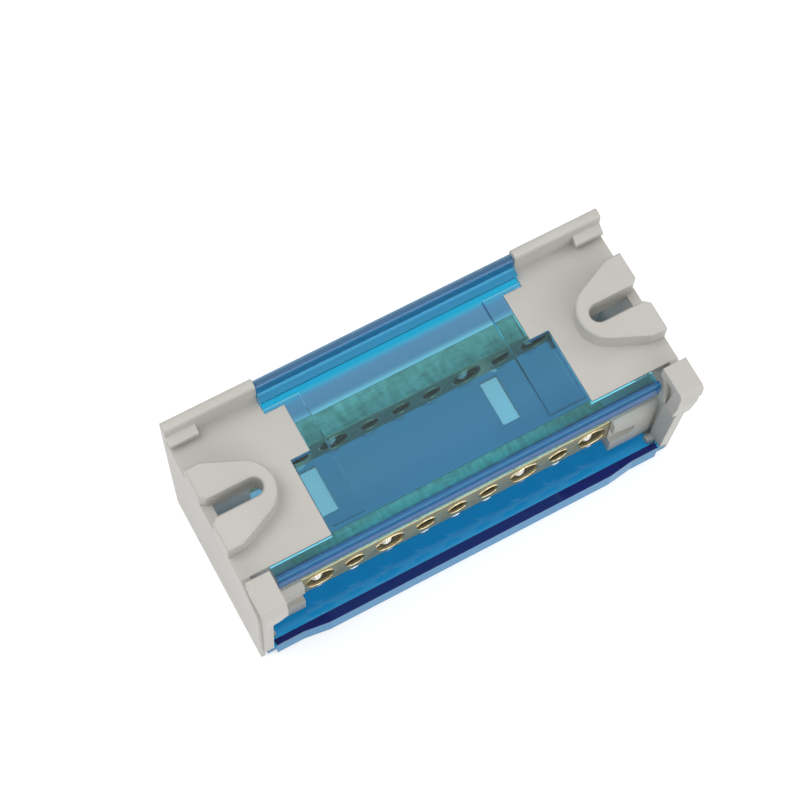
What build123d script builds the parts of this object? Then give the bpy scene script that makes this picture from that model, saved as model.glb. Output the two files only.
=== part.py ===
from build123d import *
import math
import os

# Two-pole distribution block for a 35 mm top-hat rail, lying on its front cover with its rail side up.
# It is drawn about the rail: x runs along the rail from the block's middle, y = 0 is the rail's centre
# line and z = 0 is the face that the rail lies on. The near side is -Y, with the snap feet, and the
# far side is +Y, with the fixed hooks. The last lines move every piece to the row's own frame.

# Overall sizes
block_length = 100.0        # over both end caps
seat_height = 40.0          # front face to the face that the rail lies on
pole_centre = 1.05          # middle plane between the two busbars, from the rail's centre line
fit_gap = 0.3               # between pieces that move past each other
seam = 0.1                  # between pieces that lie against each other

# The rail's flange, which the hooks and feet hold
flange_reach = 17.5         # half the rail's width
flange_room = 1.25          # seat to the underside of the hooks

# End caps
wall = 2.0                  # end wall
plate_thickness = 2.0
plate_length = 20.2         # end face to the plate's inner edge
plate_near = 14.7           # rail centre to the plate's near edge
tongue_length = 4.4         # past the plate's inner edge
tongue_start = 3.0
tongue_end = 14.1

# Far ridge with the fixed hook
ridge_inner = flange_reach + seam
ridge_outer = 20.0
ridge_height = 7.0          # above the seat, on the end caps
ridge_depth = 3.6           # below the seat
ridge_rounding = 0.8
hook_length = 6.5
hook_reach = 1.8            # past the ridge's inner face
hook_thickness = 1.3

# Screw boss, a horseshoe round an open slot
boss_height = 5.0
boss_half_width = 9.5
boss_shoulder = 3.5         # end face to where the flanks start to close in
boss_nose = 8.5             # end face to the centre of the rounded nose
boss_nose_radius = 6.6
boss_edge = 0.35
slot_width = 4.2
slot_end = 12.6             # end face to the slot's inner end
slot_start = 2.2            # end face to the outer end of the hole in the plate
mouth_half_width = 3.1
mouth_depth = 1.2

# Snap foot and its leg
foot_inset = 0.65           # end face to the foot's side
head_inset = 0.1            # the same for the foot's head, which starts just above the seat
head_low = 0.4
foot_length = 4.75
foot_top = 4.9              # above the seat
foot_reach = 24.1           # rail centre to the foot's outer face
foot_bite = 16.8            # rail centre to the tip that catches the flange
foot_back = flange_reach + fit_gap       # the foot's inner face under the tip
shoulder_low = 10.8         # below the seat, where the foot has run down into the leg
leg_thickness = 2.9         # from the end face
leg_reach = 22.0            # rail centre to the leg's outer face, under the foot
leg_front_reach = 20.9      # the same at the front, where the leg ends
leg_depth = 4.0
leg_front_gap = 4.7         # front face to the leg's end
leg_bottom = seat_height - leg_front_gap
slit_top = 2.2              # width of the slit between the foot and the end wall
slit_depth = 6.4

# Front edge of the end cap
front_lip = 3.2             # end face to the lip's inner edge
front_lip_height = 2.2
front_far = 19.2            # rail centre to the end wall's far edge at the front
notch_wall = 1.0            # what the lip keeps beside the cover's tab

# Stub pins; the cover turns on the far ones
pin_radius = 1.0
pin_length = 2.6
near_pin = 17.8             # rail centre to the pin
far_pin = 17.4
pin_front_gap = 4.2         # front face to the pins' centres
pin_depth = seat_height - pin_front_gap
pin_clearance = 0.08        # radial, in the cover's eyes

# Busbars
pole_spacing = 24.9
bar_width = 6.0
bar_height = 9.9
bar_front_gap = 18.5        # front face to the bar's back
bar_top = seat_height - bar_front_gap
bar_margin = 8.0            # end face to the bar's end
bar_bevel = 0.15
hole_drop = 4.9             # bar's back to the wire holes' centre
hole_depth = bar_top + hole_drop

# Wire holes and their screws, from the middle of the bar outwards
small_hole_radius = 2.3
large_hole_radius = 3.45
small_places = [0.0, 0.09, 0.292]        # shares of the bar's length
large_places = [0.192, 0.39]
small_shank_radius = 1.6
large_shank_radius = 2.1
thread_clearance = 0.05
screw_head_height = 1.7
small_head_radius = 3.1
large_head_radius = 3.0
driver_slot_width = 0.9
driver_slot_depth = 0.9
tip_gap = 0.5               # screw tip to the back of its wire hole

# Holders that carry the bars' ends
holder_length = 13.0        # from the end face
holder_wall = 1.6           # outside the bar
holder_back_wall = 1.1      # over the bar
# The far holders end higher, which leaves room for the cover to turn.
near_holder_gap = 3.7       # front face to the holder's end
far_holder_gap = 7.0
holder_front = {"near": seat_height - near_holder_gap, "far": seat_height - far_holder_gap}
holder_shoulder = 1.2
groove_tip = 7.3            # end face to the guide groove's closed end
groove_rise = 5.4           # ledge to the groove's top, at its open end
groove_front_gap = 8.8
groove_ledge = seat_height - groove_front_gap
groove_cut = 1.4

# Back part of the housing
floor_thickness = 2.2
ledge_lap = 3.0             # under the caps' plates
ledge_run = 7.0
ledge_thickness = 1.6
bead_inner = flange_reach + seam
bead_outer = 18.6
bead_depth = 4.5            # the skirt below the seat
bead_skirt = 1.2            # its thickness
bead_top = 1.3
bead_inset = 6.3            # end face to the near bead's end
far_bead_height = 5.5

# Front cover
cover_inset = 3.5           # end face to the cover's end
cover_near = 21.0           # rail centre to the cover's near side, at its ends
cover_bulge = 0.8           # how much further the near side stands out between them
cover_far = 19.9
cover_plate = 1.6
cover_wall = 1.4
rim_front_gap = 5.8
rim_depth = seat_height - rim_front_gap
far_rim_front_gap = 3.7
far_rim_depth = seat_height - far_rim_front_gap
bulge_start = 10.0          # end face to where the near side starts to stand out
bulge_end = 15.8
tab_inset = 1.3
tab_width = 1.6
tab_height = 1.9
eye_wall = 1.3
eye_thickness = 1.2
window_start = 25.2         # end face to the window in the front plate
window_length = 4.4
window_low = 0.3            # rail centre to the window's near edge
window_width = 11.2

left = -block_length / 2
bar_length = block_length - 2 * bar_margin
poles = {"near": pole_centre - pole_spacing / 2, "far": pole_centre + pole_spacing / 2}
outward = {"near": -1, "far": 1}


def block(x0, x1, y0, y1, z0, z1):
    return Pos((x0 + x1) / 2, (y0 + y1) / 2, (z0 + z1) / 2) * Box(x1 - x0, y1 - y0, z1 - z0)


def along_x(outline, x0, x1):
    """A bar with a (y, z) outline, from x0 to x1."""
    edge = Polyline(*[(x0, y, z) for y, z in outline], close=True)
    return extrude(make_face(edge), amount=x1 - x0, dir=(1, 0, 0))


def along_y(outline, y0, y1):
    """A bar with an (x, z) outline, from y0 to y1."""
    edge = Polyline(*[(x, y0, z) for x, z in outline], close=True)
    return extrude(make_face(edge), amount=y1 - y0, dir=(0, 1, 0))


def rod_x(radius, x0, x1, y, z):
    return Pos((x0 + x1) / 2, y, z) * Rot(0, 90, 0) * Cylinder(radius, x1 - x0)


def rod_z(radius, x, y, z0, z1):
    return Pos(x, y, (z0 + z1) / 2) * Cylinder(radius, z1 - z0)


def both_ends(piece):
    return piece + mirror(piece, about=Plane.YZ)


# End caps

def end_wall():
    slit_foot = leg_reach - foot_inset
    outline = [
        (-(leg_front_reach - foot_inset), -seat_height),
        (-slit_foot, -shoulder_low),
        (-slit_foot, -slit_depth),
        (-plate_near, 0),
        (ridge_inner, 0),
        (ridge_inner, ridge_height / 2),
        (ridge_outer, ridge_height / 2),
        (ridge_outer, -ridge_depth),
        (front_far, -seat_height),
    ]
    return along_x(outline, left, left + wall)


def back_plate():
    plate = block(left, left + plate_length, -plate_near, ridge_inner + seam, -plate_thickness, 0)
    tongue = block(left + plate_length - wall, left + plate_length + tongue_length,
                   tongue_start, tongue_end, -plate_thickness, 0)
    return plate + tongue


def cap_ridge():
    small = ridge_rounding / 3
    outline = [
        (ridge_inner, -ridge_depth),
        (ridge_inner, ridge_height - ridge_rounding),
        (ridge_inner + small, ridge_height - small),
        (ridge_inner + ridge_rounding, ridge_height),
        (ridge_outer - ridge_rounding, ridge_height),
        (ridge_outer - small, ridge_height - small),
        (ridge_outer, ridge_height - ridge_rounding),
        (ridge_outer, -ridge_depth),
    ]
    ridge = along_x(outline, left, left + plate_length)
    tip = ridge_inner - hook_reach
    hook = along_x([(ridge_inner + seam, flange_room), (tip, flange_room),
                    (tip, flange_room + hook_thickness),
                    (ridge_inner + seam, flange_room + 2 * hook_thickness)], left, left + hook_length)
    return ridge + hook


def slot_face(start, mouth):
    """The open slot in plan; its inner end is round, and its mouth may flare."""
    half = slot_width / 2
    straight = slot_end - half
    face = Pos((start + straight) / 2, 0) * Rectangle(straight - start, slot_width)
    face += Pos(straight, 0) * Circle(half)
    if mouth:
        flare = Polyline((start, -mouth_half_width), (0, -mouth_half_width), (mouth_depth, -half),
                         (mouth_depth, half), (0, mouth_half_width), (start, mouth_half_width), close=True)
        face += make_face(flare)
    return face


def screw_boss():
    """Horseshoe boss: straight flanks that meet the round nose tangentially."""
    run = boss_nose - boss_shoulder
    reach = math.hypot(run, boss_half_width)
    angle = math.atan2(boss_half_width, -run) - math.acos(boss_nose_radius / reach)
    touch_x = boss_nose + boss_nose_radius * math.cos(angle)
    touch_y = boss_nose_radius * math.sin(angle)
    flanks = Polyline((touch_x, touch_y), (boss_shoulder, boss_half_width), (0, boss_half_width),
                      (0, -boss_half_width), (boss_shoulder, -boss_half_width), (touch_x, -touch_y))
    nose = ThreePointArc((touch_x, -touch_y), (boss_nose + boss_nose_radius, 0), (touch_x, touch_y))
    plan = make_face([*flanks.edges(), nose])
    boss = extrude(plan, boss_height) - extrude(slot_face(-wall, True), boss_height)
    boss = chamfer(boss.faces().sort_by(Axis.Z)[-1].edges(), boss_edge)
    root = Pos(0, 0, -seam) * extrude(plan - slot_face(-wall, True), 2 * seam)
    return Pos(left, 0, 0) * (boss + root)


def plate_slot():
    return Pos(left, 0, -2 * plate_thickness) * extrude(slot_face(slot_start, False), 3 * plate_thickness)


def snap_foot():
    """Foot and leg: a side outline and a front outline, crossed."""
    side = [
        (-foot_bite, flange_room),
        (-foot_bite, foot_top),
        (-foot_reach + 0.8, foot_top),
        (-foot_reach, foot_top - 0.8),
        (-foot_reach, -2.0),
        (-leg_reach - 1.2, -shoulder_low + 1.5),
        (-leg_reach, -shoulder_low - 3.6),
        (-leg_front_reach, -leg_bottom),
        (-leg_front_reach + leg_depth, -leg_bottom),
        (-leg_reach + leg_depth, -shoulder_low),
        (-foot_back, -slit_depth),
        (-foot_back, flange_room),
    ]
    inner = foot_inset + foot_length
    front = [
        (left + head_inset, foot_top),
        (left + inner, foot_top),
        (left + inner + 0.3, -slit_depth),
        (left + leg_thickness, -shoulder_low),
        (left + leg_thickness, -leg_bottom),
        (left + foot_inset, -leg_bottom),
        (left + foot_inset, head_low),
        (left + head_inset, head_low),
    ]
    across = along_x(side, left + head_inset, left + inner + wall)
    solid = across & along_y(front, -foot_reach - wall, -foot_bite + wall)
    pocket = along_x([(-foot_reach + 2.6, 2.6), (-foot_back - 0.9, 2.6), (-foot_reach + 3.4, -slit_depth)],
                     left + inner - wall / 2, left + inner + wall)
    return solid - pocket


def foot_slit():
    """Wedge between the end wall's slanted edge and the foot, so that the foot can spring back."""
    tip = leg_reach - foot_inset
    outline = [
        (-plate_near, seam),
        (-plate_near - slit_top, seam),
        (-tip - 2 * seam, -slit_depth),
        (-tip, -slit_depth),
    ]
    return along_x(outline, left - wall, left + wall + seam)


def front_edge():
    """Inward lip along the front edge, notched beside the cover's tab."""
    lip = block(left, left + front_lip, -leg_front_reach + foot_inset, front_far,
                -seat_height, -seat_height + front_lip_height)
    notch = block(left + notch_wall, left + front_lip + wall, -leg_front_reach - wall,
                  -cover_near + tab_width + fit_gap,
                  -seat_height - wall, -leg_bottom)
    return lip, notch


def stub_pins():
    pins = [rod_x(pin_radius, left + wall - seam, left + wall + pin_length, y, -pin_depth)
            for y in (-near_pin, far_pin)]
    return pins[0] + pins[1]


def bar_holder(side):
    out = outward[side]
    pole = poles[side]
    face = pole + out * (bar_width / 2 + holder_wall)
    back = pole - out * (bar_width / 2 + holder_wall)
    top = -bar_top + holder_back_wall
    mouth = left + holder_length
    outline = [
        (face, top - holder_shoulder),
        (face - out * holder_shoulder, top),
        (back, top),
        (back, -holder_front[side]),
        (face, -holder_front[side]),
    ]
    body = along_x(outline, left + wall - seam, mouth)
    room = bar_width / 2 + seam
    pocket = block(-bar_length / 2 - seam, mouth + wall, pole - room, pole + room,
                   -bar_top - bar_height - seam, -bar_top + seam)
    body -= pocket
    if side == "near":
        body -= guide_groove(face, mouth)
    return body


def guide_groove(face, mouth):
    """Groove over a ledge in the near holder's face; it closes towards the end wall."""
    tip = left + groove_tip
    outline = [
        (tip, -groove_ledge + groove_cut),
        (tip, -groove_ledge + groove_rise - groove_cut),
        (mouth + seam, -groove_ledge + groove_rise),
        (mouth + seam, -groove_ledge),
        (tip + groove_cut, -groove_ledge),
    ]
    return along_y(outline, face - seam, face + groove_cut)


def end_cap():
    lip, notch = front_edge()
    cap = end_wall() + back_plate() + cap_ridge() + lip - notch
    cap = cap + snap_foot() - foot_slit()
    cap = cap + screw_boss() - plate_slot()
    return cap + stub_pins() + bar_holder("near") + bar_holder("far")


# Back part of the housing

def near_bead():
    """Long bead beside the rail's near flange, with a shallow groove along its top."""
    outline = [
        (-plate_near - seam, 0),
        (-plate_near - seam, -floor_thickness),
        (-bead_outer + bead_skirt, -floor_thickness),
        (-bead_outer + bead_skirt, -bead_depth),
        (-bead_outer + 0.3, -bead_depth),
        (-bead_outer, -bead_depth + 0.4),
        (-bead_outer, -0.4),
        (-bead_outer + 0.2, 0.4),
        (-bead_outer + 0.5, bead_top - 0.4),
        (-bead_inner - 0.3, bead_top - 0.4),
        (-bead_inner - 0.2, bead_top),
        (-bead_inner, bead_top),
        (-bead_inner, 0),
    ]
    return along_x(outline, left + bead_inset, -left - bead_inset)


def far_bead():
    """Far ridge with the long lip that the rail's flange slides under."""
    tip = ridge_inner - hook_reach
    outline = [
        (ridge_inner - seam, -floor_thickness),
        (ridge_inner - seam, 0),
        (ridge_inner, 0),
        (ridge_inner, flange_room),
        (tip, flange_room),
        (tip, flange_room + hook_thickness - 0.3),
        (ridge_inner, flange_room + hook_thickness + 0.4),
        (ridge_inner + 0.3, far_bead_height - 0.3),
        (ridge_inner + 0.7, far_bead_height),
        (ridge_outer - 0.8, far_bead_height),
        (ridge_outer - 0.2, far_bead_height - 0.5),
        (ridge_outer, far_bead_height - 1.2),
        (ridge_outer, -ridge_depth),
        (ridge_inner + 0.3, -ridge_depth),
    ]
    end = left + plate_length + seam
    return along_x(outline, end, -end)


def base_housing():
    edge = left + plate_length + seam
    floor = block(edge, -edge, -bead_inner, ridge_inner + seam, -floor_thickness, 0)
    tongue_room = block(edge - wall, left + plate_length + tongue_length + seam,
                        tongue_start - seam, tongue_end + seam, -plate_thickness - seam, wall)
    floor = floor - tongue_room - mirror(tongue_room, about=Plane.YZ)
    ledge = block(edge - ledge_lap, edge - ledge_lap + ledge_run + tongue_length, -plate_near + wall,
                  ridge_inner - wall, -plate_thickness - seam - ledge_thickness, -plate_thickness - seam)
    return floor + both_ends(ledge) + near_bead() + far_bead()


# Front cover

def near_wall():
    """Low side wall on the near side, which stands out a little between its ends."""
    start = left + cover_inset
    inner = -cover_near + cover_wall
    bulge = -cover_near - cover_bulge
    plan = Polyline((start, inner), (start, -cover_near), (left + bulge_start, -cover_near),
                    (left + bulge_end, bulge), (-left - bulge_end, bulge),
                    (-left - bulge_start, -cover_near), (-start, -cover_near), (-start, inner), close=True)
    return Pos(0, 0, -seat_height) * extrude(make_face(plan), amount=seat_height - rim_depth)


def hinge_eye():
    """Eye that turns on the far stub pin, on a stem that stands on the front plate."""
    x0 = left + cover_inset
    x1 = x0 + eye_thickness
    radius = pin_radius + pin_clearance + eye_wall
    ring = rod_x(radius, x0, x1, far_pin, -pin_depth)
    stem = block(x0, x1, far_pin - radius, far_pin + radius, -seat_height + cover_plate / 2, -pin_depth)
    bore = rod_x(pin_radius + pin_clearance, x0 - wall, x1 + wall, far_pin, -pin_depth)
    return ring + stem - bore


def front_cover():
    start = left + cover_inset
    plate = block(start, -start, -cover_near, cover_far, -seat_height, -seat_height + cover_plate)
    window = block(left + window_start, left + window_start + window_length,
                   window_low, window_low + window_width, -seat_height - wall, -seat_height + 2 * wall)
    plate = plate - window - mirror(window, about=Plane.YZ)
    tab_top = -leg_bottom - fit_gap
    tab = block(left + tab_inset, start + wall, -cover_near + seam, -cover_near + tab_width,
                tab_top - tab_height, tab_top)
    # The far rim is lower, because it swings up past the far holders as the cover opens.
    far_rim = block(start, -start, cover_far - cover_wall, cover_far, -seat_height, -far_rim_depth)
    return plate + near_wall() + far_rim + both_ends(tab) + both_ends(hinge_eye())


# Busbars and their screws

def screw_places():
    """Every terminal from left to right: its x, its hole, shank and head radii."""
    small = (small_hole_radius, small_shank_radius, small_head_radius)
    large = (large_hole_radius, large_shank_radius, large_head_radius)
    shares = [(share, small) for share in small_places] + [(-share, small) for share in small_places if share]
    shares += [(share, large) for share in large_places] + [(-share, large) for share in large_places]
    return [(share * bar_length, radii) for share, radii in sorted(shares)]


def busbar(side):
    pole = poles[side]
    half = bar_width / 2
    bar = block(-bar_length / 2, bar_length / 2, pole - half, pole + half, -bar_top - bar_height, -bar_top)
    bar = chamfer(bar.edges().filter_by(Axis.X), bar_bevel)
    for x, (hole, shank, head) in screw_places():
        across = Pos(x, pole, -hole_depth) * Rot(90, 0, 0)
        bar -= across * Cylinder(hole, bar_width + 2)
        bar -= rod_z(shank + thread_clearance, x, pole, -bar_top - bar_height - 1, -hole_depth)
    return bar


def terminal_screw(x, pole, hole, shank, head):
    """Cheese-head terminal screw, turned right in, its tip just short of the wire hole's back."""
    front = -bar_top - bar_height - seam
    tip = -hole_depth + math.sqrt(hole ** 2 - shank ** 2) - tip_gap
    body = rod_z(shank, x, pole, front - seam, tip)
    cap = rod_z(head, x, pole, front - screw_head_height, front)
    slot = Pos(x, pole, front - screw_head_height) * Box(3 * head, driver_slot_width, 2 * driver_slot_depth)
    return body + (cap - slot)


def save(piece, node):
    """Moves a piece from the rail's frame to the row's, whose origin is under the middle of its box."""
    middle = (ridge_outer - foot_reach) / 2
    export_step(Pos(0, -middle, seat_height) * piece, f"parts/{node}.step")


os.makedirs("parts", exist_ok=True)
left_cap = end_cap()
save(left_cap, "end_cap_left")
save(mirror(left_cap, about=Plane.YZ), "end_cap_right")
save(base_housing(), "base_housing")
save(front_cover(), "front_cover")
for side, pole in poles.items():
    save(busbar(side), f"busbar_{side}")
    for number, (x, radii) in enumerate(screw_places(), start=1):
        save(terminal_screw(x, pole, *radii), f"{side}_screw_{number}")
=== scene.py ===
from math import cos, pi, sin
import bpy
from mathutils import Matrix, Vector


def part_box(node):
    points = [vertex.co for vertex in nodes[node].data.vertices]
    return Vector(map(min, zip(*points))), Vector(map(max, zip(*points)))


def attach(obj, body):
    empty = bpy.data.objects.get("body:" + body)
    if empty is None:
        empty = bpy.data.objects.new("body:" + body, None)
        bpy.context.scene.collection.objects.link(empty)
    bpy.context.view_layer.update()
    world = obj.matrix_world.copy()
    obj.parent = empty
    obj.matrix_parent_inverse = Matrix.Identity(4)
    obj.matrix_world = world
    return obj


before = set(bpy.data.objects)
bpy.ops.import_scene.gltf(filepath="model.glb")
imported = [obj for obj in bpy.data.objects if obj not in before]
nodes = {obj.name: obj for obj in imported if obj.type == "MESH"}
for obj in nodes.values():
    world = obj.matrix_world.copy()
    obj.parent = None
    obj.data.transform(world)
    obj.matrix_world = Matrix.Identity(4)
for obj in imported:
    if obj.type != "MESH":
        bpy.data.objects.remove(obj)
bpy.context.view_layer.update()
scene = bpy.context.scene
scene.view_settings.view_transform = "Standard"

# Places and lengths on the part are in millimetres, and the studio is in metres
MM = 0.001
Y, Z = 1, 2


# Node helpers

def set_inputs(tree, node, inputs):
    """Sets a node's inputs, by name or number, to values, or joins them to sockets."""
    for key, value in inputs.items():
        socket = node.inputs[key]
        if isinstance(value, bpy.types.NodeSocket):
            tree.links.new(value, socket)
        else:
            socket.default_value = (*value, 1) if socket.type == "RGBA" else value


def add_node(tree, kind, inputs=None):
    """A new shader node with its inputs set."""
    made = tree.nodes.new("ShaderNode" + kind)
    set_inputs(tree, made, inputs or {})
    return made


def new_material(name):
    """A new material, its node tree and its Principled shader."""
    made = bpy.data.materials.new(name)
    made.use_nodes = True
    tree = made.node_tree
    tree.nodes.clear()
    shader = add_node(tree, "BsdfPrincipled")
    add_node(tree, "OutputMaterial", {"Surface": shader.outputs[0]})
    return made, tree, shader


def set_output(tree, inputs):
    """Joins sockets to the output node of a material."""
    set_inputs(tree, next(node for node in tree.nodes if node.type == "OUTPUT_MATERIAL"), inputs)


def noise(tree, scale, detail=2.0, stretch=(1, 1, 1)):
    """Noise with features of about 1/scale metres, longer along an axis with a stretch under 1."""
    where = add_node(tree, "TexCoord")
    spread = add_node(tree, "Mapping", {"Vector": where.outputs["Object"], "Scale": stretch})
    made = add_node(tree, "TexNoise", {"Vector": spread.outputs[0], "Scale": scale, "Detail": detail})
    return made.outputs["Fac"]


def ramp(tree, factor, stops):
    """A colour that follows a factor; each stop is a value of the factor and its colour."""
    made = add_node(tree, "ValToRGB", {0: factor})
    elements = made.color_ramp.elements
    for element, (where, colour) in ((elements[0], stops[0]), (elements[1], stops[-1])):
        element.position, element.color = where, (*colour, 1)
    for where, colour in stops[1:-1]:
        elements.new(where).color = (*colour, 1)
    return made.outputs[0]


def bump(tree, height, strength, distance, under):
    """Relief from a height, laid on the normal under it."""
    made = add_node(tree, "Bump", {
        "Strength": strength, "Distance": distance * MM, "Height": height, "Normal": under})
    return made.outputs[0]


def soft_edges(tree, radius):
    """A normal with the small rounding that moulded and machined edges have."""
    made = add_node(tree, "Bevel", {"Radius": radius * MM})
    made.samples = 6
    return made.outputs[0]


def arith(tree, operation, first, second=0.0):
    """One step of arithmetic on sockets or numbers; a product is kept between 0 and 1."""
    made = add_node(tree, "Math", {0: first, 1: second})
    made.operation = operation
    made.use_clamp = operation == "MULTIPLY"
    return made.outputs[0]


def lowered(tree, start, mask, amount):
    """A number that is less than its start by an amount where the mask is 1."""
    return arith(tree, "SUBTRACT", start, arith(tree, "MULTIPLY", mask, amount))


def blend_colour(tree, factor, first, second):
    """The first colour where the factor is 0, the second where it is 1."""
    made = add_node(tree, "Mix")
    made.data_type = "RGBA"
    colours = [number for number, socket in enumerate(made.inputs) if socket.type == "RGBA"]
    set_inputs(tree, made, {"Factor": factor, colours[0]: first, colours[1]: second})
    return next(socket for socket in made.outputs if socket.type == "RGBA")


def coordinate(tree, axis):
    """One coordinate of the shaded point on its own piece, in metres."""
    where = add_node(tree, "TexCoord")
    split = add_node(tree, "SeparateXYZ", {0: where.outputs["Object"]})
    return split.outputs[axis]


def past(tree, axis, limit):
    """1 beyond a limit on one axis, and 0 elsewhere."""
    return arith(tree, "GREATER_THAN", coordinate(tree, axis), limit * MM)


def short_of(tree, axis, limit):
    """1 on the low side of a limit on one axis, and 0 elsewhere."""
    return arith(tree, "LESS_THAN", coordinate(tree, axis), limit * MM)


def upright(tree):
    """1 on faces that stand upright in the scene, and 0 on those that lie flat."""
    shape = add_node(tree, "NewGeometry")
    split = add_node(tree, "SeparateXYZ", {0: shape.outputs["True Normal"]})
    return arith(tree, "LESS_THAN", arith(tree, "ABSOLUTE", split.outputs[Z]), 0.5)


def across(tree, axis, first, last, stops):
    """A colour that changes along one axis, with its stops between the first and the last place."""
    span = last - first
    share = arith(tree, "DIVIDE", arith(tree, "SUBTRACT", coordinate(tree, axis), first * MM), span * MM)
    return ramp(tree, share, [((where - first) / span, colour) for where, colour in stops])


# Grey end caps

def cap_plastic():
    """Warm light grey moulding: faint mottling, fine satin grain, edges a touch rounded."""
    made, tree, shader = new_material("grey_plastic")
    tone = [(0.3, (0.475, 0.458, 0.425)), (0.7, (0.505, 0.49, 0.458))]
    set_inputs(tree, shader, {
        "Base Color": ramp(tree, noise(tree, 90, 4.0), tone),
        "Roughness": 0.46,
        "Specular IOR Level": 0.4,
        "Normal": bump(tree, noise(tree, 3000), 0.06, 0.04, soft_edges(tree, 0.25))})
    return made


# Clear blue back and cover

CLEAR_IOR = 1.45
DEPTH_BLUE = (0.02, 0.62, 0.78)
LAMP_TINT = (0.35, 0.68, 0.8)    # lamplight that has come through the plastic
LEDGE_TINT = (0.62, 0.78, 0.86)

# Places along Y and their colours, from the near bead over the floor to the far bead; the beads' bands
# are painted light and shade from refraction and reflection, and the floor is painted lighter where the
# bars' backs show through it
BACK_TINTS_AND_PAINTED_LIGHT = [
    (-16.45, (0.015, 0.11, 0.30)), (-16.2, (0.04, 0.28, 0.56)), (-15.7, (0.015, 0.18, 0.45)),
    (-14.95, (0.008, 0.12, 0.36)), (-14.4, (0.10, 0.52, 0.66)), (-12.6, (0.20, 0.62, 0.72)),
    (-10.8, (0.20, 0.51, 0.63)), (5.0, (0.20, 0.51, 0.63)), (7.0, (0.19, 0.60, 0.70)),
    (11.5, (0.16, 0.54, 0.67)), (13.0, (0.06, 0.20, 0.33)), (16.2, (0.07, 0.21, 0.36)),
    (17.2, (0.02, 0.34, 0.53)), (19.0, (0.02, 0.33, 0.55)), (20.2, (0.03, 0.18, 0.40)),
    (21.0, (0.09, 0.19, 0.33)), (21.7, (0.07, 0.30, 0.54)), (22.05, (0.22, 0.52, 0.74))]
BEADS_ABOVE = 40.2               # just over the face that the rail lies on
BACK_NEAR_SIDE = -16.3           # a little inside the near bead's outer side
LEDGES_BELOW = 37.7              # just under the floor's underside
LEDGES_PAST = -14.5              # past the near bead's skirt

# Places along Y and their colours, from the near wall to the far one; the darker stops behind the near
# bar are a painted shadow of the bar
COVER_TINTS_AND_PAINTED_SHADE = [
    (-18.9, (0.02, 0.42, 0.68)), (-17.0, (0.018, 0.31, 0.57)), (-14.0, (0.010, 0.20, 0.43)),
    (-8.0, (0.010, 0.19, 0.41)), (-1.0, (0.15, 0.37, 0.54)), (6.0, (0.25, 0.46, 0.62)),
    (19.0, (0.19, 0.45, 0.63))]
COVER_SIDE_BLUE = (0.05, 0.26, 0.50)
# Painted shade: the near wall's top is painted navy
COVER_RIM_PAINTED_SHADE = (0.014, 0.008, 0.085)
COVER_RIM_ABOVE = 5.6            # just under the near wall's top
COVER_RIM_NEARER = -15.0         # farther in than the near wall
COVER_SIDES = (-18.5, 21.8)      # a little inside the outer sides of the two walls


def blue_clear(name, density):
    """Clear blue plastic, faintly wavy; the denser it is, the deeper long ways inside it look."""
    made, tree, shader = new_material(name)
    set_inputs(tree, shader, {
        "Transmission Weight": 1.0,
        "Roughness": 0.05,
        "IOR": CLEAR_IOR,
        "Normal": bump(tree, noise(tree, 160), 0.02, 0.2, soft_edges(tree, 0.2))})
    inside = add_node(tree, "VolumeAbsorption", {"Color": DEPTH_BLUE, "Density": density})
    set_output(tree, {"Volume": inside.outputs[0]})
    return made, tree, shader


def let_lamps_through(tree, shader, opening=None):
    """Lamps light what is inside; where the opening is 1, the plastic is see-through for all rays."""
    share = add_node(tree, "LightPath").outputs["Is Shadow Ray"]
    tint = LAMP_TINT
    if opening is not None:
        share = arith(tree, "MAXIMUM", share, opening)
        tint = blend_colour(tree, opening, LAMP_TINT, LEDGE_TINT)
    clear = add_node(tree, "BsdfTransparent", {"Color": tint})
    mix = add_node(tree, "MixShader", {0: share, 1: shader.outputs[0], 2: clear.outputs[0]})
    set_output(tree, {"Surface": mix.outputs[0]})


def cloud(tree, shader, first, first_share, second, second_share):
    """Takes a share of the clearness away where each of two masks is 1."""
    cloudy = arith(tree, "MAXIMUM", arith(tree, "MULTIPLY", first, first_share),
                   arith(tree, "MULTIPLY", second, second_share))
    set_inputs(tree, shader, {"Transmission Weight": arith(tree, "SUBTRACT", 1.0, cloudy)})


def dull(tree, shader, outside, gloss, gloss_loss, ior_loss):
    """Outer sides mirror less of the white studio, so that they stay blue."""
    set_inputs(tree, shader, {
        "Specular IOR Level": lowered(tree, gloss, outside, gloss_loss),
        "IOR": lowered(tree, CLEAR_IOR, outside, ior_loss)})


def back_blue():
    """The back part: a clear floor, painted lighter where the bars' backs show through, with the two
    beads painted in bands of light and shade.
    """
    made, tree, shader = blue_clear("clear_blue_back", 45.0)
    # Painted light and shade: bands on the beads and a lighter floor over the bars' backs
    set_inputs(tree, shader, {"Base Color": across(tree, Y, -18, 24, BACK_TINTS_AND_PAINTED_LIGHT)})
    outside = short_of(tree, Y, BACK_NEAR_SIDE)
    # The beads and the near outer side are clouded, so that their painted bands show
    cloud(tree, shader, past(tree, Z, BEADS_ABOVE), 0.5, outside, 0.7)
    dull(tree, shader, outside, 0.5, 0.4, 0.3)
    on_ledge = arith(tree, "MULTIPLY", short_of(tree, Z, LEDGES_BELOW), past(tree, Y, LEDGES_PAST))
    let_lamps_through(tree, shader, arith(tree, "MULTIPLY", on_ledge, upright(tree)))
    return made


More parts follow.
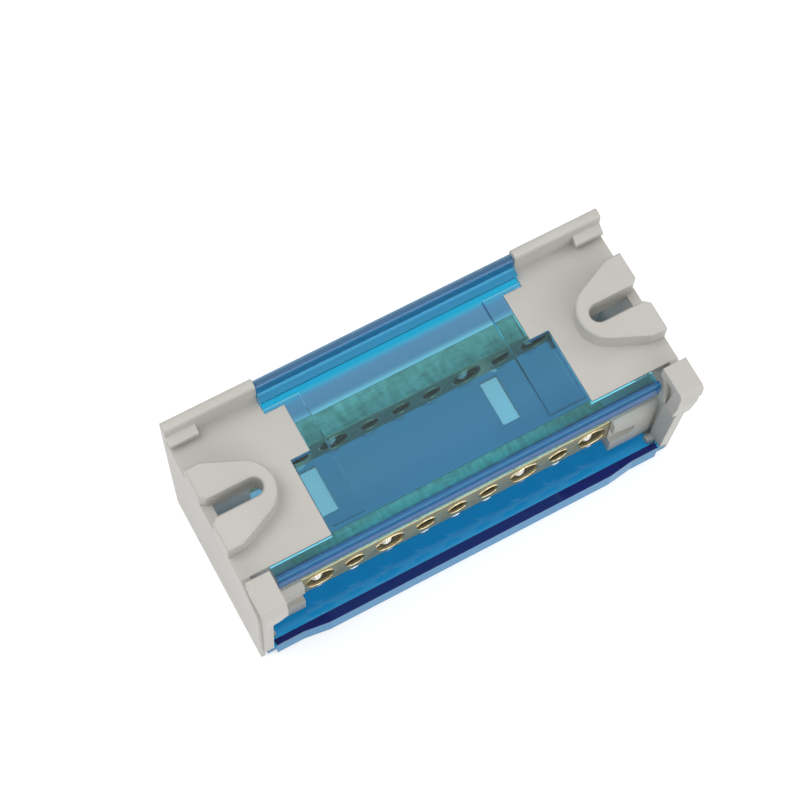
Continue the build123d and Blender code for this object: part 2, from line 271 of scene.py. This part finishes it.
def cover_blue():
    """The cover: paler in the middle of its front and darker behind the near bar, a painted shadow, with
    the near wall's top painted navy as painted shade.
    """
    made, tree, shader = blue_clear("clear_blue_cover", 60.0)
    # Where the near wall's top gets its painted shade
    rim = arith(tree, "MULTIPLY", past(tree, Z, COVER_RIM_ABOVE), short_of(tree, Y, COVER_RIM_NEARER))
    near_side, far_side = COVER_SIDES
    outside = arith(tree, "MAXIMUM", short_of(tree, Y, near_side), past(tree, Y, far_side))
    outside = arith(tree, "MULTIPLY", outside, upright(tree))
    # Painted shadow: the tint darkens behind the near bar
    tone = blend_colour(tree, outside, across(tree, Y, -20, 20, COVER_TINTS_AND_PAINTED_SHADE), COVER_SIDE_BLUE)
    set_inputs(tree, shader, {"Base Color": blend_colour(tree, rim, tone, COVER_RIM_PAINTED_SHADE)})
    cloud(tree, shader, rim, 0.7, outside, 0.7)
    dull(tree, shader, outside, 0.25, 0.15, 0.25)
    let_lamps_through(tree, shader)
    return made


# Brass bars and their screws

# Painted shade: the bores inside the bars are darkened
BORE_PAINTED_SHADE = (0.13, 0.12, 0.08)
WHITE, BLACK = (1, 1, 1), (0, 0, 0)
# Places along Y where the bores get painted shade: white from a little behind each bar's near face to
# past its far one
BORE_SHADE_BANDS = [
    (-12.0, BLACK), (-11.85, WHITE), (-6.0, WHITE), (-5.0, BLACK),
    (12.85, BLACK), (13.0, WHITE)]
BACK_SKIN = 0.01                 # depth that counts as the back, less than its chamfers
THREAD_STEP = 0.13               # the pitch over 2 pi
THREAD_START = 8.7               # just inside the bar


def brass():
    """Dull olive brass: sawn front, bores darkened with painted shade, and a back with crossing
    scratches that is painted paler and greener, as painted light and painted reflection of the blue
    plastic round it.
    """
    made, tree, shader = new_material("brushed_brass")
    grain = noise(tree, 900, 3.0, (0.25, 1, 1))
    front = ramp(tree, grain, [(0.3, (0.40, 0.33, 0.16)), (0.7, (0.58, 0.49, 0.27))])
    # Painted shade in the bores
    front = blend_colour(tree, across(tree, Y, -13, 19, BORE_SHADE_BANDS), front, BORE_PAINTED_SHADE)
    crossways = noise(tree, 700, 4.0, (1, 0.35, 1))
    lengthways = arith(tree, "MULTIPLY", noise(tree, 1100, 4.0, (0.3, 1, 1)), 2.0)
    # The scratches are the back's own; its paler, greener colour is painted light and painted reflection
    back = ramp(tree, arith(tree, "MULTIPLY", crossways, lengthways),
                [(0.25, (0.44, 0.48, 0.33)), (0.7, (0.78, 0.86, 0.67))])
    on_back = past(tree, Z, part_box("busbar_near")[1].z / MM - BACK_SKIN)
    set_inputs(tree, shader, {
        "Base Color": blend_colour(tree, on_back, front, back),
        "Metallic": 0.65,
        "Roughness": 0.34,
        "Normal": bump(tree, grain, 0.2, 0.1, soft_edges(tree, 0.3))})
    return made


def screw_metal():
    """Bright plated steel, with its thread as fine rings along the shank; the heads are painted
    blue-grey, a painted reflection of the blue plastic round them.
    """
    made, tree, shader = new_material("bright_screw")
    turns = arith(tree, "SINE", arith(tree, "DIVIDE", coordinate(tree, Z), THREAD_STEP * MM))
    rings = arith(tree, "MULTIPLY", arith(tree, "ADD", turns, 1.0), 0.5)
    rings = arith(tree, "MULTIPLY", rings, past(tree, Z, THREAD_START))
    set_inputs(tree, shader, {
        # Painted reflection: the heads, low on each screw, are painted blue-grey
        "Base Color": across(tree, Z, 0, 20, [(8.4, (0.60, 0.72, 0.76)), (8.7, (0.97, 0.95, 0.88))]),
        "Metallic": 1.0,
        "Roughness": 0.16,
        "Normal": bump(tree, rings, 0.9, 0.6, soft_edges(tree, 0.5))})
    return made


def rim_brass():
    """Polished brass with small tool marks."""
    made, tree, shader = new_material("bright_rim")
    tone = [(0.35, (0.78, 0.60, 0.30)), (0.65, (1.0, 0.86, 0.58))]
    set_inputs(tree, shader, {
        "Base Color": ramp(tree, noise(tree, 1500), tone),
        "Metallic": 0.85,
        "Roughness": 0.18})
    return made


# Materials of the CAD nodes

def dress(names, material):
    """Gives CAD nodes one material, in place of their own."""
    for name in names:
        mesh = nodes[name].data
        mesh.materials.clear()
        mesh.materials.append(material)


dress(("end_cap_left", "end_cap_right"), cap_plastic())
dress(("base_housing",), back_blue())
dress(("front_cover",), cover_blue())
dress(("busbar_near", "busbar_far"), brass())
dress([name for name in nodes if "_screw_" in name], screw_metal())


# Bright rims round the wire holes

HOLE_DROP = 4.9                  # the bar's back to the middle of its holes
# Each radius of hole, and its places from the bar's middle as shares of the bar's length
HOLE_SHARES = {2.3: (0.0, 0.09, 0.292), 3.45: (0.192, 0.39)}
RIM_RADIUS = 0.17                # a rim is a round bead
RIM_OUTSET = 0.08                # the hole's edge to the bead's middle
AROUND, SECTION = 36, 8          # points along a rim, and round its bead


def hole_places(length):
    """Each hole's place along a bar of this length, and its radius."""
    places = []
    for radius, shares in HOLE_SHARES.items():
        for share in shares:
            for end in (-1, 1) if share else (1,):
                places.append((share * end * length, radius))
    return places


def add_ring(points, faces, centre, radius):
    """Adds a thin round bead along a circle that faces along Y."""
    start = len(points)
    for turn in range(AROUND):
        along = 2 * pi * turn / AROUND
        for step in range(SECTION):
            roll = 2 * pi * step / SECTION
            out = radius + RIM_RADIUS * cos(roll)
            bead = Vector((out * cos(along), RIM_RADIUS * sin(roll), out * sin(along)))
            points.append((centre + bead) * MM)
    for turn in range(AROUND):
        here, there = start + turn * SECTION, start + (turn + 1) % AROUND * SECTION
        for step in range(SECTION):
            onward = (step + 1) % SECTION
            faces.append((here + step, here + onward, there + onward, there + step))


def hole_rims(side, material):
    """One piece with the rims on both faces of a bar."""
    low, high = (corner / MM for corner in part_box(f"busbar_{side}"))
    points, faces = [], []
    for face in (low.y, high.y):
        for x, radius in hole_places(high.x - low.x):
            add_ring(points, faces, Vector((x, face, high.z - HOLE_DROP)), radius + RIM_OUTSET)
    name = f"{side}_hole_rims"
    mesh = bpy.data.meshes.new(name)
    mesh.from_pydata(points, [], faces)
    mesh.polygons.foreach_set("use_smooth", [True] * len(faces))
    mesh.materials.append(material)
    rims = bpy.data.objects.new(name, mesh)
    scene.collection.objects.link(rims)
    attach(rims, "block")


rim_metal = rim_brass()
for bar in ("near", "far"):
    hole_rims(bar, rim_metal)


# Studio

FLOOR_SIZE = 3.0
FLOOR_GREY = (0.6, 0.6, 0.6)
FLOOR_GAP = 0.4 * MM             # the part's front face to the floor
SKY_STRENGTH = 0.70
LAMP_AIM = Vector((0, 0, 0.02))


def seen_white(tree, shade, for_camera, for_clear):
    """Adds white to a shade, for the camera and for what glass and metal show."""
    rays = add_node(tree, "LightPath").outputs
    through = arith(tree, "MAXIMUM", rays["Is Transmission Ray"], rays["Is Glossy Ray"])
    level = arith(tree, "MAXIMUM", arith(tree, "MULTIPLY", rays["Is Camera Ray"], for_camera),
                  arith(tree, "MULTIPLY", through, for_clear))
    kind = "Background" if shade.node.type == "BACKGROUND" else "Emission"
    white = add_node(tree, kind, {"Color": WHITE, "Strength": level})
    return add_node(tree, "AddShader", {0: shade, 1: white.outputs[0]}).outputs[0]


def studio_floor():
    """A pale grey floor that looks white and keeps the part's shadow."""
    bpy.ops.mesh.primitive_plane_add(size=FLOOR_SIZE, location=(0, 0, -FLOOR_GAP))
    floor = bpy.context.object
    floor.name = "studio_floor"
    made, tree, shader = new_material("studio_white")
    set_inputs(tree, shader, {"Base Color": FLOOR_GREY, "Roughness": 0.9})
    set_output(tree, {"Surface": seen_white(tree, shader.outputs[0], for_camera=0.55, for_clear=0.75)})
    floor.data.materials.append(made)


def studio_world():
    """A white sky that lights the part a little less than it shows."""
    world = bpy.data.worlds.new("studio")
    scene.world = world
    world.use_nodes = True
    tree = world.node_tree
    tree.nodes.clear()
    sky = add_node(tree, "Background", {"Color": WHITE, "Strength": SKY_STRENGTH})
    rest = 1.0 - SKY_STRENGTH
    add_node(tree, "OutputWorld", {"Surface": seen_white(tree, sky.outputs[0], rest, rest)})


def soft_light(name, place, size, power):
    """A large rectangular lamp that shines on the part."""
    data = bpy.data.lights.new(name, "AREA")
    data.shape = "RECTANGLE"
    data.size, data.size_y = size
    data.energy = power
    lamp = bpy.data.objects.new(name, data)
    lamp.location = place
    lamp.rotation_mode = "QUATERNION"
    lamp.rotation_quaternion = (LAMP_AIM - Vector(place)).to_track_quat("-Z", "Y")
    scene.collection.objects.link(lamp)


def studio_camera():
    """Long lens, high over the near side and a little to the left, as fitted to the photograph."""
    right = Vector((0.8777, -0.47883, 0.01916))
    up = Vector((0.44128, 0.82317, 0.3573))
    back = Vector((-0.18686, -0.30515, 0.93379))
    place = Vector((-90.18, -134.24, 469.02)) * MM
    data = bpy.data.cameras.new("camera")
    data.sensor_width = 36.0
    data.lens = 102.4
    data.clip_start, data.clip_end = 0.01, 20.0
    camera = bpy.data.objects.new("camera", data)
    turn = Matrix((right, up, back)).transposed()
    camera.matrix_world = Matrix.Translation(place) @ turn.to_4x4()
    scene.collection.objects.link(camera)
    scene.camera = camera


studio_floor()
studio_world()
soft_light("key", place=(-0.45, 0.2, 1.0), size=(0.6, 0.6), power=3.9)
soft_light("fill", place=(0.15, -0.9, 0.5), size=(0.9, 0.5), power=2.8)
soft_light("side", place=(0.95, -0.25, 0.5), size=(0.6, 0.5), power=2.0)
studio_camera()

bpy.context.view_layer.update()
